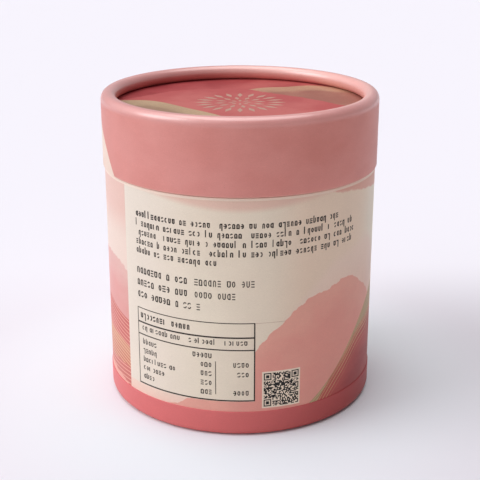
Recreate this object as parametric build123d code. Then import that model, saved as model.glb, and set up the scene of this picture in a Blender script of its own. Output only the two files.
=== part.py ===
from build123d import *

import math
import os

# A cylindrical gift tube box of rolled board, standing on its curled foot.
# Units are millimetres. The origin is the centre of the foot on the ground, and +Z is up.
# The back of the box, where the printed sheets lap, faces +Y.

# Body: a straight sleeve of board under a printed sheet
body_diameter = 76.0
body_height = 66.9
sleeve_board = 1.0
sheet = 0.18

# Foot: a ring of faced board, curled inward and up, that the sleeve stands on
foot_height = 7.2
foot_proud = 0.2
foot_roll_radius = 1.9
foot_flat = 0.6
foot_tail_gap = 0.25
foot_corner = 0.15

# Base: a pressed-in greyboard disc, papered on both faces
base_board = 2.0
lining = 0.15

# Neck: the inner tube that the lid slides over
neck_board = 1.2
neck_turn_in = 6.0

# Lid: a sleeve with a curled top edge, holding a pressed-in disc
lid_height = 20.2
lid_board = 1.0
lid_play = 0.25
seam_gap = 0.2
lid_roll_radius = 2.0
lid_roll_flat = 0.3
lid_tail_gap = 0.2
lid_disc_board = 2.0
lid_turn_in = 5.0

# Lap of the printed sheets at the back
lap_width = 8.0
lap_end_turn = 60.0

quarter_turn = 90.0
half_turn = 180.0
full_turn = 360.0
back_angle = 90.0

# Radii, worked out from the outside of the body inward, then outward to the lid
body_radius = body_diameter / 2
sleeve_outer_r = body_radius - sheet
sleeve_inner_r = sleeve_outer_r - sleeve_board
foot_outer_r = body_radius + foot_proud
neck_cover_r = sleeve_inner_r
neck_outer_r = neck_cover_r - lining
neck_inner_r = neck_outer_r - neck_board
bore_r = neck_inner_r - lining
lid_turned_r = neck_cover_r + lid_play
lid_inner_r = lid_turned_r + sheet
lid_outer_r = lid_inner_r + lid_board
lid_wrap_r = lid_outer_r + sheet
lid_disc_r = lid_inner_r - sheet

# Heights, from the ground up to the shoulder
base_sheet_z = 2 * foot_roll_radius
base_disc_z = base_sheet_z + lining
neck_foot_z = base_disc_z + base_board
floor_z = neck_foot_z + lining
shoulder_z = body_height - sheet

# Heights of the lid, from its crest down to the ceiling that rests on the neck
lid_mouth_z = body_height + seam_gap
crest_z = lid_mouth_z + lid_height
lid_roll_z = crest_z - lid_roll_radius
lid_board_roll_r = lid_roll_radius - sheet
print_z = crest_z - 2 * lid_roll_radius
lid_disc_top_z = print_z - sheet
lid_disc_z = lid_disc_top_z - lid_disc_board
ceiling_z = lid_disc_z - lining
lid_edge_z = lid_mouth_z + sheet
lid_turn_z = lid_edge_z + lid_turn_in
neck_top_z = ceiling_z - lining
neck_turn_z = neck_top_z - neck_turn_in

UP = 1
DOWN = -1


def box_face(inner_r, outer_r, low_z, high_z):
    """A rectangle of the half section, between two radii and two heights."""
    corners = [(inner_r, low_z), (outer_r, low_z), (outer_r, high_z), (inner_r, high_z)]
    return make_face(Polyline(*corners, close=True))


def turned(section):
    """Turn a half section, drawn as radius and height, through the whole circle."""
    return revolve(Plane.XZ * section, Axis.Z, full_turn)


def turned_strip(section, width, radius):
    """Turn a half section through a short arc of the given width, centred on the back."""
    span = math.degrees(width / radius)
    strip = revolve(Plane.XZ * section, Axis.Z, span)
    return strip.rotate(Axis.Z, back_angle - span / 2)


def roll_track(way, face_r, roll_z, roll_r, flat, turn, offset):
    """The line of a curled edge in the half section.

    It leaves the wall at the roll's height, turns inward through a quarter circle, crosses a
    short flat and turns on. A negative offset lies nearer to the roll's core."""
    radius = roll_r + offset
    outer_x = face_r - roll_r
    inner_x = outer_x - flat
    crest = roll_z + way * radius
    first = CenterArc((outer_x, roll_z), radius, 0, way * quarter_turn)
    top = Line((outer_x, crest), (inner_x, crest))
    second = CenterArc((inner_x, roll_z), radius, way * quarter_turn, way * turn)
    return [first, top, second]


def roll_end(way, face_r, roll_z, roll_r, flat, turn, offset):
    """The point where a roll track of the same sizes ends."""
    angle = math.radians(quarter_turn + turn)
    radius = roll_r + offset
    return (face_r - roll_r - flat + radius * math.cos(angle), roll_z + way * radius * math.sin(angle))


def curl_face(way, face_r, roll_z, roll_r, flat, turn, low, high):
    """The half section of one layer of a curled edge, between two offsets."""
    shape = (way, face_r, roll_z, roll_r, flat, turn)
    start = Line((face_r + low, roll_z), (face_r + high, roll_z))
    end = Line(roll_end(*shape, low), roll_end(*shape, high))
    return make_face([*roll_track(*shape, high), *roll_track(*shape, low), start, end])


def tail_face(way, face_r, roll_z, roll_r, flat, end_r, low, high):
    """The cut end of a curled layer, lying flat from under the roll out to a radius."""
    start_r = face_r - roll_r - flat
    heights = sorted((roll_z - way * (roll_r + low), roll_z - way * (roll_r + high)))
    return box_face(start_r, end_r, *heights)


def folded_face(way, inner_r, outer_r, edge_z, thick, outside_z, inside_z):
    """A sheet that covers a wall's outside, turns over its edge and comes down its inside."""
    over_z = edge_z + way * thick
    outer_fold = CenterArc((outer_r, edge_z), thick, 0, way * quarter_turn)
    inner_fold = CenterArc((inner_r, edge_z), thick, way * quarter_turn, way * quarter_turn)
    outside = [(outer_r, outside_z), (outer_r + thick, outside_z), (outer_r + thick, edge_z)]
    inside = [(inner_r - thick, edge_z), (inner_r - thick, inside_z), (inner_r, inside_z)]
    under = [(inner_r, inside_z), (inner_r, edge_z), (outer_r, edge_z), (outer_r, outside_z)]
    over = Line((outer_r, over_z), (inner_r, over_z))
    runs = [Polyline(*outside), outer_fold, over, inner_fold, Polyline(*inside), Polyline(*under)]
    return make_face([edge for run in runs for edge in run.edges()])


def capped_face(radius, low_z, high_z, thick):
    """A sheet laid over a disc's top and turned down its rim."""
    corner = CenterArc((radius, high_z), thick, 0, quarter_turn)
    rim = Polyline((radius, high_z), (radius, low_z), (radius + thick, low_z), (radius + thick, high_z))
    top = Line((radius, high_z + thick), (0, high_z + thick))
    middle = Line((0, high_z + thick), (0, high_z))
    under = Line((0, high_z), (radius, high_z))
    return make_face([*rim.edges(), corner, top, middle, under])


def disc(radius, low_z, thick):
    """A flat round sheet or board."""
    return turned(box_face(0, radius, low_z, low_z + thick))


def foot_ring():
    """The faced board ring at the foot, with its roll, the flat it stands on and its cut end."""
    wall = foot_outer_r - neck_cover_r
    roll = (DOWN, foot_outer_r, foot_roll_radius, foot_roll_radius, foot_flat)
    curl = curl_face(*roll, half_turn, -wall, 0)
    tail = tail_face(*roll, neck_cover_r - foot_tail_gap, -wall, 0)
    side = box_face(neck_cover_r, foot_outer_r, foot_roll_radius, foot_height)
    corner = side.vertices().group_by(Axis.Y)[-1].sort_by(Axis.X)[-1]
    side = fillet(corner, foot_corner)
    return turned(side + curl + tail)


def body_tube():
    """The plain board sleeve between the foot ring and the shoulder."""
    return turned(box_face(sleeve_inner_r, sleeve_outer_r, foot_height, shoulder_z))


def body_wrap():
    """The printed sheet of the body, turned over the shoulder and lapped at the back."""
    side = box_face(sleeve_outer_r, body_radius, foot_height, shoulder_z)
    top = box_face(sleeve_inner_r, sleeve_outer_r, shoulder_z, body_height)
    fold = make_face([
        CenterArc((sleeve_outer_r, shoulder_z), sheet, 0, quarter_turn),
        Line((sleeve_outer_r, body_height), (sleeve_outer_r, shoulder_z)),
        Line((sleeve_outer_r, shoulder_z), (body_radius, shoulder_z)),
    ])
    lap = box_face(body_radius, body_radius + sheet, foot_height, shoulder_z)
    return turned(side + fold + top) + turned_strip(lap, lap_width, body_radius)


def base_disc():
    """The greyboard base, held between the foot's roll and the neck tube."""
    return disc(neck_cover_r, base_disc_z, base_board)


def base_sheet():
    """The paper that faces the underside of the base."""
    return disc(neck_cover_r, base_sheet_z, lining)


def floor_sheet():
    """The paper on the floor inside the bore."""
    return disc(neck_inner_r, neck_foot_z, lining)


def neck_tube():
    """The inner board tube, from the base up to the lid's ceiling."""
    return turned(box_face(neck_inner_r, neck_outer_r, neck_foot_z, neck_top_z))


def neck_cover():
    """The paper round the neck, turned over its top edge and a little way down its bore."""
    section = folded_face(UP, neck_inner_r, neck_outer_r, neck_top_z, lining, neck_foot_z, neck_turn_z)
    return turned(section)


def bore_liner():
    """The paper that lines the bore below the turned edge of the neck's cover."""
    return turned(box_face(bore_r, neck_inner_r, floor_z, neck_turn_z))


def lid_tube():
    """The lid's board wall, with its top edge rolled inward and its cut end on the disc."""
    roll = (UP, lid_outer_r, lid_roll_z, lid_board_roll_r, lid_roll_flat)
    curl = curl_face(*roll, half_turn, -lid_board, 0)
    tail = tail_face(*roll, lid_inner_r - lid_tail_gap, -lid_board, 0)
    side = box_face(lid_inner_r, lid_outer_r, lid_edge_z, lid_roll_z)
    return turned(side + curl + tail)


def lid_wrap():
    """The lid's printed sheet: rolled in with the board, turned round the mouth, lapped behind."""
    roll = (UP, lid_outer_r, lid_roll_z, lid_board_roll_r, lid_roll_flat)
    curl = curl_face(*roll, half_turn, 0, sheet)
    tail = tail_face(*roll, lid_inner_r - lid_tail_gap, 0, sheet)
    mouth = folded_face(DOWN, lid_inner_r, lid_outer_r, lid_edge_z, sheet, lid_roll_z, lid_turn_z)
    lap_side = box_face(lid_wrap_r, lid_wrap_r + sheet, lid_edge_z, lid_roll_z)
    lap_curl = curl_face(*roll, lap_end_turn, sheet, 2 * sheet)
    return turned(mouth + curl + tail) + turned_strip(lap_side + lap_curl, lap_width, lid_wrap_r)


def lid_disc():
    """The greyboard disc pressed up under the lid's roll."""
    return disc(lid_disc_r, lid_disc_z, lid_disc_board)


def lid_print():
    """The printed face of the disc, turned down round its rim."""
    return turned(capped_face(lid_disc_r, lid_disc_z, lid_disc_top_z, sheet))


def lid_lining():
    """The paper inside the lid's wall, from the turned edge up to the disc."""
    return turned(box_face(lid_inner_r - lining, lid_inner_r, lid_turn_z, lid_disc_z))


def lid_ceiling():
    """The paper under the disc, which comes to rest on the neck."""
    return disc(lid_inner_r - lining, ceiling_z, lining)


def main():
    """Write one STEP file for each piece."""
    os.makedirs("parts", exist_ok=True)
    pieces = [
        foot_ring, body_tube, body_wrap, base_disc, base_sheet, floor_sheet, neck_tube, neck_cover,
        bore_liner, lid_tube, lid_wrap, lid_disc, lid_print, lid_lining, lid_ceiling,
    ]
    for piece in pieces:
        export_step(piece(), os.path.join("parts", piece.__name__ + ".step"))


main()
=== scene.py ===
"""Looks of a paperboard gift tube box: printed sheets, rolled rims, label marks and foil lines.

Sizes are in metres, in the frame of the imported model: +Z up, the front towards -Y. What is printed
has its sizes in millimetres where its class says so.
"""

from __future__ import annotations

import logging
import math
from dataclasses import dataclass, field, replace
from enum import Enum
from typing import Callable, Iterable, Mapping, NamedTuple, Sequence, Union

import bmesh
import bpy
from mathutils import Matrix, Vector

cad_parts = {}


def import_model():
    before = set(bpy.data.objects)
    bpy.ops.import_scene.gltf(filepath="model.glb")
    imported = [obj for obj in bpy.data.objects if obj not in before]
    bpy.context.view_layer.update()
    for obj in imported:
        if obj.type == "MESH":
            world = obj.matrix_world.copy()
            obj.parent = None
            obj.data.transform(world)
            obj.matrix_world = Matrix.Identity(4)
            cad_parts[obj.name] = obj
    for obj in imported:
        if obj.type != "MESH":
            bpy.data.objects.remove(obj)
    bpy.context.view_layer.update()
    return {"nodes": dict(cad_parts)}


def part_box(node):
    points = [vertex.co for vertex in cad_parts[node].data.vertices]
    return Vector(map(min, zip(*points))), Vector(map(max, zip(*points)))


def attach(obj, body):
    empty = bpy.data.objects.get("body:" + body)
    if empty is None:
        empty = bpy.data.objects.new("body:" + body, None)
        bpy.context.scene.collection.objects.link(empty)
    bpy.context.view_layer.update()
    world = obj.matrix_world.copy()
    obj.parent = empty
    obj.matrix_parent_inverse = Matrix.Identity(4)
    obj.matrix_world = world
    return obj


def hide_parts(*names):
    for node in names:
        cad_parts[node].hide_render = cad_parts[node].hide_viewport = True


LOG = logging.getLogger("gift_tube")
MM = 0.001
SAME_PLACE = 1e-8
SHARP_EDGE = math.radians(40.0)
FOLD_STEPS = 5

Number = Union[float, "Term"]
Key = Union[str, int]
Point = tuple[float, float]
Spot = tuple[float, float, float]
Wave = tuple[float, int, float]
Strip = tuple[float, float, float, float]
Inputs = Union[Mapping[Key, object], None]


class Body(Enum):
    """The two rigid bodies of the box."""

    BOX = "box"
    LID = "lid"


class Side(Enum):
    """Which end of a wall a roll belongs to."""

    TOP = 1
    FOOT = -1


@dataclass(frozen=True)
class Tone:
    """A colour as a printer would note it, in 8-bit sRGB."""

    red: int
    green: int
    blue: int

    def linear(self) -> tuple[float, float, float, float]:
        """Return the colour as linear RGBA."""
        shares = (value / 255.0 for value in (self.red, self.green, self.blue))
        return (*(s / 12.92 if s <= 0.04045 else ((s + 0.055) / 1.055) ** 2.4 for s in shares), 1.0)


def worked(operation: str, swapped: bool = False) -> Callable[..., Term]:
    """Return a method of Term that adds a Math node, with the other value first if it is swapped."""
    def method(self: Term, *others: Number) -> Term:
        """Return what the Math node gives for this term and the others."""
        values = (*others, self) if swapped else (self, *others)
        return self.graph.out("ShaderNodeMath", 0, {"operation": operation}, dict(enumerate(values)))
    return method


class Term:
    """A value inside a node tree, with Python's arithmetic."""

    __add__ = worked("ADD")
    __radd__ = worked("ADD", swapped=True)
    __sub__ = worked("SUBTRACT")
    __rsub__ = worked("SUBTRACT", swapped=True)
    __mul__ = worked("MULTIPLY")
    __rmul__ = worked("MULTIPLY", swapped=True)
    __truediv__ = worked("DIVIDE")
    __lt__ = worked("LESS_THAN")
    __gt__ = worked("GREATER_THAN")
    __abs__ = worked("ABSOLUTE")
    floor = worked("FLOOR")
    root = worked("SQRT")
    sine = worked("SINE")
    cosine = worked("COSINE")
    bearing = worked("ARCTAN2")
    repeated = worked("FLOORED_MODULO")
    higher = worked("MAXIMUM")
    lower = worked("MINIMUM")

    def __init__(self, graph: Graph, socket: bpy.types.NodeSocket) -> None:
        """Keep the tree that the value lives in, and the socket that gives it."""
        self.graph = graph
        self.socket = socket

    def __neg__(self) -> Term:
        """Return 0 - self."""
        return 0.0 - self

    def faded(self, low: float, high: float) -> Term:
        """Return a smooth step from 0 at low to 1 at high."""
        ends = {"Value": self, "From Min": low, "From Max": high}
        return self.graph.out("ShaderNodeMapRange", "Result", {"interpolation_type": "SMOOTHSTEP"}, ends)


class Graph:
    """A shader or geometry node tree that is written as expressions."""

    noise_roughness = 0.55

    def __init__(self, tree: bpy.types.NodeTree) -> None:
        """Start with an emptied tree."""
        self.tree = tree
        tree.nodes.clear()

    def node(self, kind: str, settings: Inputs = None, sockets: Inputs = None) -> bpy.types.Node:
        """Add a node.

        Args:
            kind: Blender's name for the type of node.
            settings: The node's own properties, which are set first.
            sockets: A value or a Term for each input, by identifier, name or number.

        Returns:
            The new node.
        """
        made = self.tree.nodes.new(kind)
        for name, value in (settings or {}).items():
            setattr(made, name, value)
        for key, value in (sockets or {}).items():
            socket = self._pick(made.inputs, key)
            if isinstance(value, Term):
                self.tree.links.new(value.socket, socket)
            else:
                socket.default_value = value
        return made

    @staticmethod
    def _pick(sockets: Iterable[bpy.types.NodeSocket], key: Key) -> bpy.types.NodeSocket:
        """Return a socket by its number, or the one in use of that name or identifier."""
        if isinstance(key, int):
            return sockets[key]
        return next(one for one in sockets if one.enabled and key in (one.name, one.identifier))

    def term(self, made: bpy.types.Node, output: Key = 0) -> Term:
        """Return one output of a node as a Term."""
        return Term(self, self._pick(made.outputs, output))

    def out(
        self, kind: str, output: Key = 0, settings: Inputs = None, sockets: Inputs = None, **plain: object
    ) -> Term:
        """Add a node and return an output. Plain are inputs too, whose names are one word."""
        return self.term(self.node(kind, settings, {**(sockets or {}), **plain}), output)

    def mix(self, share: Number, under: object, over: object) -> Term:
        """Return a colour that goes from under to over as share goes from 0 to 1."""
        first, last = (one.linear() if isinstance(one, Tone) else one for one in (under, over))
        return self.out("ShaderNodeMix", "Result", {"data_type": "RGBA"}, Factor=share, A=first, B=last)

    def noise(self, where: Term, size: float, detail: float = 2.0) -> Term:
        """Return smooth noise from 0 to 1 whose blots are about one size across, in metres."""
        sockets = {"Vector": where, "Scale": 1.0 / size, "Detail": detail, "Roughness": self.noise_roughness}
        return self.out("ShaderNodeTexNoise", "Fac", sockets=sockets)

    def join(self, x: Number, y: Number, z: Number) -> Term:
        """Return a vector of three values."""
        return self.out("ShaderNodeCombineXYZ", X=x, Y=y, Z=z)

    def split(self, vector: Term) -> tuple[Term, ...]:
        """Return a vector's three values."""
        made = self.node("ShaderNodeSeparateXYZ", {}, {0: vector})
        return tuple(self.term(made, place) for place in range(3))


@dataclass(frozen=True)
class Places:
    """Where a shaded point is on the tube, and the tree that shades it."""

    graph: Graph
    point: Term
    x: Term
    y: Term
    height: Term
    angle: Term
    streak, bloom, bloom_detail, bloom_range = 0.55, 7.0 * MM, 7.0, (0.3, 0.7)

    @staticmethod
    def of(graph: Graph) -> Places:
        """Return the places of a shader, with the angle counted from the front, to the right."""
        point = graph.out("ShaderNodeTexCoord", "Object")
        x, y, z = graph.split(point)
        return Places(graph, point, x, y, z, x.bearing(-y))

    def washed(self) -> Term:
        """Return blooms from 0 to 1, drawn out along the sheet as a wide brush leaves them."""
        x, y, z = self.graph.split(self.point)
        drawn_out = self.graph.join(x * self.streak, y * self.streak, z)
        return self.graph.noise(drawn_out, self.bloom, self.bloom_detail).faded(*self.bloom_range)


@dataclass(frozen=True)
class Painted:
    """What is printed at a place: its colour, and how much of it is foil."""

    colour: Term
    foil: Number = 0.0

    def layered(self, places: Places, *ribbons: Swell) -> Painted:
        """Return what is printed once each ribbon lies over the one before."""
        printed = self
        for ribbon in ribbons:
            printed = ribbon.paint_over(places, printed)
        return printed

    def laid(self, colour: object, cover: Term) -> Painted:
        """Return what is printed once a plain colour covers some of it."""
        return Painted(cover.graph.mix(cover, self.colour, colour), (1.0 - cover) * self.foil)


@dataclass(frozen=True)
class Hairlines:
    """Fine lines that follow a ribbon's edge inside it, with sizes in millimetres.

    Args:
        tone: Their colour.
        pitch: The distance from one to the next.
        width: The width of each.
        deep: How far below the edge the last one is.
        foil: How metallic they are.
    """

    tone: Tone
    pitch: float
    width: float
    deep: float
    foil: float
    blur = 0.03 * MM
    whole_part = 0.6

    def share(self, depth: Term) -> Term:
        """Return 1 on a line and 0 off it, from how far below the edge a place is, in metres."""
        across = abs(depth.repeated(self.pitch * MM) - self.pitch * MM / 2)
        line = (self.width * MM / 2 - across).faded(-self.blur, self.blur)
        return line * depth.faded(self.deep * MM, self.deep * MM * self.whole_part)


@dataclass(frozen=True)
class Swell:
    """A ribbon that fills the sheet on one side of a rolling edge, with sizes in millimetres.

    Args:
        tone: Its colour at its edge.
        level: The mean height of its edge.
        waves: The waves of its edge. Each is its rise, how many times it goes round the tube, and the
            degrees from the front at which it is highest.
        deep_tone: Its colour away from its edge, if that differs.
        fade: How far below the edge the deep tone is reached.
        softness: Half the width over which the edge blurs.
        hangs: Whether it fills the sheet above its edge.
        ragged: How far its edge strays, as a torn or dry brushed one does.
        wash: How much its two tones run into each other, as a watercolour does.
        lines: The hairlines in it, if any.
    """

    tone: Tone
    level: float
    waves: tuple[Wave, ...]
    deep_tone: Tone | None = None
    fade: float = 14.0
    softness: float = 0.04
    hangs: bool = False
    ragged: float = 0.0
    wash: float = 0.0
    lines: Hairlines | None = None
    tear, tear_detail = 2.6 * MM, 6.0
    hump_rise = 26.0
    hump_waves = ((12.0, 1, 0.0), (9.0, 2, 0.0), (5.0, 3, 0.0), (0.7, 9, 13.0), (0.35, 17, 5.0))

    @staticmethod
    def hump(tone: Tone, peak: float, top: float, **more: object) -> Swell:
        """Return a ribbon that rises once round the tube, to its peak at top degrees from the front."""
        waves = tuple((rise, count, top + turn) for rise, count, turn in Swell.hump_waves)
        return Swell(tone, peak - Swell.hump_rise, waves, **more)

    def edge(self, angle: Term) -> Term:
        """Return the edge's height at an angle, in metres."""
        height: Number = self.level * MM
        for rise, count, top in self.waves:
            height = (angle * count - math.radians(top) * count).cosine() * (rise * MM) + height
        return height

    def height_at(self, angle: float) -> float:
        """Return the edge's height in metres, at an angle in radians from the front."""
        waves = (rise * math.cos(count * (angle - math.radians(top))) for rise, count, top in self.waves)
        return (self.level + sum(waves)) * MM

    def paint_over(self, places: Places, under: Painted) -> Painted:
        """Print this ribbon over what is there.

        Args:
            places: Where the shaded point is.
            under: What is printed there.

        Returns:
            What is printed then.
        """
        graph, blur = places.graph, self.softness * MM
        depth = (self.edge(places.angle) - places.height) * (-1.0 if self.hangs else 1.0)
        torn: Number = 0.0
        if self.ragged:
            torn = (graph.noise(places.point, self.tear, self.tear_detail) - 0.5) * (self.ragged * MM)
        cover = (depth + torn).faded(-blur, blur)
        share = depth.faded(0.0, self.fade * MM)
        if self.wash:
            share = share + (places.washed() - 0.5) * self.wash
        colour = graph.mix(share, self.tone, self.deep_tone or self.tone)
        foil: Number = 0.0
        if self.lines:
            line = self.lines.share(depth)
            colour = graph.mix(line, colour, self.lines.tone)
            foil = line * self.lines.foil
        return Painted(graph.mix(cover, under.colour, colour), cover * foil + (1.0 - cover) * under.foil)


@dataclass(frozen=True)
class Window:
    """A patch of the sheet, between two angles in degrees and two heights in millimetres."""

    left: float
    right: float
    low: float
    high: float

    def cover(self, places: Places) -> Term:
        """Return 1 inside the patch, and 0 outside it."""
        middle = math.radians(self.left + self.right) / 2
        across = abs(places.angle - middle) < math.radians(self.right - self.left) / 2
        tall = abs(places.height - (self.low + self.high) / 2 * MM) < (self.high - self.low) / 2 * MM
        return across.lower(tall)


PALE_LINES = Hairlines(Tone(236, 176, 158), 1.2, 0.3, 40.0, 0.1)
PEACH_LINES = Hairlines(Tone(232, 190, 152), 1.05, 0.36, 40.0, 0.2)
GOLD_LINES = Hairlines(Tone(206, 172, 132), 1.6, 0.28, 6.5, 0.5)
OLIVE_LINES = Hairlines(Tone(212, 186, 148), 1.1, 0.28, 9.0, 0.4)


class Artwork:
    """The plain design of the sheets: rolling ribbons of blush, rose and gold round a cream panel."""

    panel_tone, panel_side = Tone(241, 233, 219), Tone(236, 227, 218)
    # Painted shade: the warm panel tone is laid on the panel's right, the side away from the lamps.
    panel_blush, panel_warm = Tone(241, 230, 216), Tone(241, 222, 206)
    sky_low, sky_high = Tone(238, 218, 210), Tone(234, 198, 190)
    # The pale edge tone is wear on the lid's mouth and painted highlight under the body's shoulder.
    worn_edge, crease_tone = Tone(247, 230, 219), Tone(196, 172, 158)
    panel = Window(-53.4, 104.0, 6.0, 70.0)
    table_ground = Window(-53.4, 5.95, 10.2, 33.1)
    # A thin darker line, level with the table's top rule and running right from it.
    crease, crease_strength = Window(6.2, 38.0, 32.78, 32.92), 0.8
    # Painted highlight: a pale band just under the shoulder's fold, where the fold catches the light.
    sky_fade, shoulder, shoulder_wear = (50.0 * MM, 60.0 * MM), (66.0 * MM, 66.25 * MM), 0.8
    cloud, cloud_range = 30.0 * MM, (0.35, 0.75)
    side_fade, warm_from, warm_to = (0.2, 0.8), (0.15, 0.5), (1.25, 0.95)
    behind = (
        Swell(Tone(230, 186, 182), 38.0, ((5.0, 2, -66.0), (1.6, 5, -74.0)), Tone(227, 162, 160), 10.0,
              softness=0.3, ragged=3.0, wash=0.5),
        Swell(Tone(206, 102, 102), 25.0, ((4.0, 1, -80.0), (1.8, 4, -88.0)), Tone(214, 122, 116), wash=0.8,
              lines=PALE_LINES),
        Swell(Tone(214, 144, 124), 16.5, ((4.5, 2, -86.0), (0.8, 6, -60.0)), Tone(206, 118, 106), 6.0,
              softness=0.8, lines=PEACH_LINES),
        Swell(Tone(206, 112, 108), 10.5, ((2.6, 2, -52.0),), lines=PALE_LINES),
    )
    haze = (
        Swell.hump(Tone(243, 222, 211), 50.0, 58.0, deep_tone=Tone(240, 205, 194), fade=22.0, softness=2.4),
        Swell(Tone(243, 208, 197), 7.6, ((1.2, 3, -35.0),), softness=2.2),
    )
    under_lid = Swell(Tone(235, 203, 191), 65.6, ((2.1, 3, 60.0),), softness=1.1, hangs=True)
    pink_ribbon = Swell.hump(Tone(237, 174, 163), 41.0, 44.0, deep_tone=Tone(235, 163, 155), ragged=2.6,
                             wash=1.0)
    gold_ribbon = Swell(Tone(182, 156, 120), 10.5, ((22.0, 1, 112.0), (8.0, 2, 100.0), (0.5, 9, 60.0)),
                        Tone(166, 136, 106), wash=0.8, lines=OLIVE_LINES)
    rose_ribbon = Swell.hump(Tone(192, 84, 82), 27.0, 76.0, deep_tone=Tone(164, 60, 62), wash=0.8,
                             lines=GOLD_LINES)
    hanging_ribbon = Swell(Tone(230, 178, 166), 65.4, ((6.0, 1, -44.0),), softness=0.35, hangs=True,
                           ragged=2.0)
    lid_tones = (Tone(226, 154, 151), Tone(215, 138, 133))
    # Painted light: the roll's inner side is made paler towards the right, where it faces the lamps on the
    # left.
    curl_tone, curl_inside, curl_fade = Tone(240, 172, 164), (-36.9 * MM, -35.9 * MM), (-24.0 * MM, 6.0 * MM)
    lid_cloud, lid_cloud_range, lid_shares = 24.0 * MM, (0.3, 0.7), (0.55, 0.45)
    mouth, mouth_wear = (-67.5 * MM, -67.3 * MM), 0.15
    lid_ribbons = (
        Swell.hump(Tone(240, 220, 209), 82.2, -95.0, deep_tone=Tone(236, 208, 198), wash=0.6),
        Swell.hump(Tone(236, 188, 176), 80.0, -132.0, deep_tone=Tone(228, 172, 160), ragged=2.4, wash=0.9),
        Swell.hump(Tone(210, 118, 114), 81.0, 168.0, deep_tone=Tone(196, 104, 100), wash=0.8,
                   lines=GOLD_LINES),
    )
    # Painted shade: the disc's ground is darker on its left, where the rim shades it from the lamps on the
    # left.
    disc_left = (Tone(166, 68, 71), Tone(144, 48, 53))
    disc_right = (Tone(184, 92, 90), Tone(162, 66, 67))
    disc_ribbons = (
        Swell(Tone(176, 124, 106), 12.0, ((12.0, 2, 34.0), (0.7, 14, 10.0)), Tone(154, 98, 86), wash=0.9,
              lines=OLIVE_LINES),
        Swell(Tone(178, 84, 84), 4.0, ((16.0, 2, -11.0), (0.6, 11, 0.0)), Tone(190, 104, 101), 24.0,
              ragged=2.6, wash=1.0),
        Swell(Tone(174, 144, 120), -17.5, ((21.0, 2, -54.0), (0.6, 12, -40.0)), Tone(154, 124, 102), wash=0.9,
              lines=OLIVE_LINES),
    )
    disc_turn, disc_fade = 34.0 * MM, (-22.0 * MM, 6.0 * MM)
    # Painted shade: the foot is lighter on the left, where the lamps are, and deeper on the right and at the
    # back.
    foot_tones, foot_paler_at, foot_fade = (Tone(170, 58, 60), Tone(223, 115, 118)), -50.0, (-0.5, 0.95)

    def body(self, places: Places) -> Painted:
        """Return what is printed on the body's sheet, with a painted highlight under the shoulder and a
        painted warmer shade on its right.
        """
        graph, height, angle = places.graph, places.height, places.angle
        sky = graph.mix(height.faded(*self.sky_fade), self.sky_low, self.sky_high)
        cloud = graph.noise(places.point, self.cloud).faded(*self.cloud_range)
        paper = graph.mix(cloud, self.panel_tone, self.panel_blush)
        paper = graph.mix((-angle).faded(*self.side_fade), paper, self.panel_side)
        # Painted shade: a warmer tone on the panel's right, away from the lamps.
        paper = graph.mix(angle.faded(*self.warm_from) * angle.faded(*self.warm_to), paper, self.panel_warm)
        hazy = Painted(paper).layered(places, *self.haze).colour
        printed = Painted(sky).layered(places, *self.behind).laid(hazy, self.panel.cover(places))
        printed = printed.layered(places, self.under_lid)
        # The thin darker line to the right of the table's top rule.
        printed = printed.laid(self.crease_tone, self.crease.cover(places) * self.crease_strength)
        printed = printed.layered(places, self.pink_ribbon, self.gold_ribbon, self.rose_ribbon)
        printed = printed.laid(paper, self.table_ground.cover(places)).layered(places, self.hanging_ribbon)
        # Painted highlight under the shoulder's fold.
        return printed.laid(self.worn_edge, height.faded(*self.shoulder) * self.shoulder_wear)

    def lid(self, places: Places) -> Painted:
        """Return what is printed on the lid's sheet, with painted light on the roll's inner side to the
        right, which faces the lamps on the left.
        """
        graph, x, y = places.graph, places.x, places.y
        smooth, brushed = self.lid_shares
        cloud = graph.noise(places.point, self.lid_cloud).faded(*self.lid_cloud_range)
        cloud = cloud * smooth + places.washed() * brushed
        # Painted light on the roll's inner side, stronger towards the right.
        inner = (-(x * x + y * y).root()).faded(*self.curl_inside)
        pink, curled = graph.mix(cloud, *self.lid_tones), inner * x.faded(*self.curl_fade)
        printed = Painted(graph.mix(curled, pink, self.curl_tone)).layered(places, *self.lid_ribbons)
        return printed.laid(self.worn_edge, (-places.height).faded(*self.mouth) * self.mouth_wear)

    def disc(self, places: Places) -> Painted:
        """Return what is printed on the lid's disc, with the ribbons running across it, and painted shade on
        its left, where the rim keeps the lamps' light off it.
        """
        graph, bloom = places.graph, places.washed()
        left, right = graph.mix(bloom, *self.disc_left), graph.mix(bloom, *self.disc_right)
        # Painted shade: darker towards the left of the disc.
        rose = graph.mix(places.x.faded(*self.disc_fade), left, right)
        flat = replace(places, height=places.y, angle=places.x / self.disc_turn)
        return Painted(rose).layered(flat, *self.disc_ribbons)

    def foot(self, places: Places) -> Painted:
        """Return the foot paper's colour, with painted shade: lighter on the side that faces the lamps,
        deeper on the right and at the back.
        """
        share = (places.angle - math.radians(self.foot_paler_at)).cosine().faded(*self.foot_fade)
        return Painted(places.graph.mix(share, *self.foot_tones))


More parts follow.
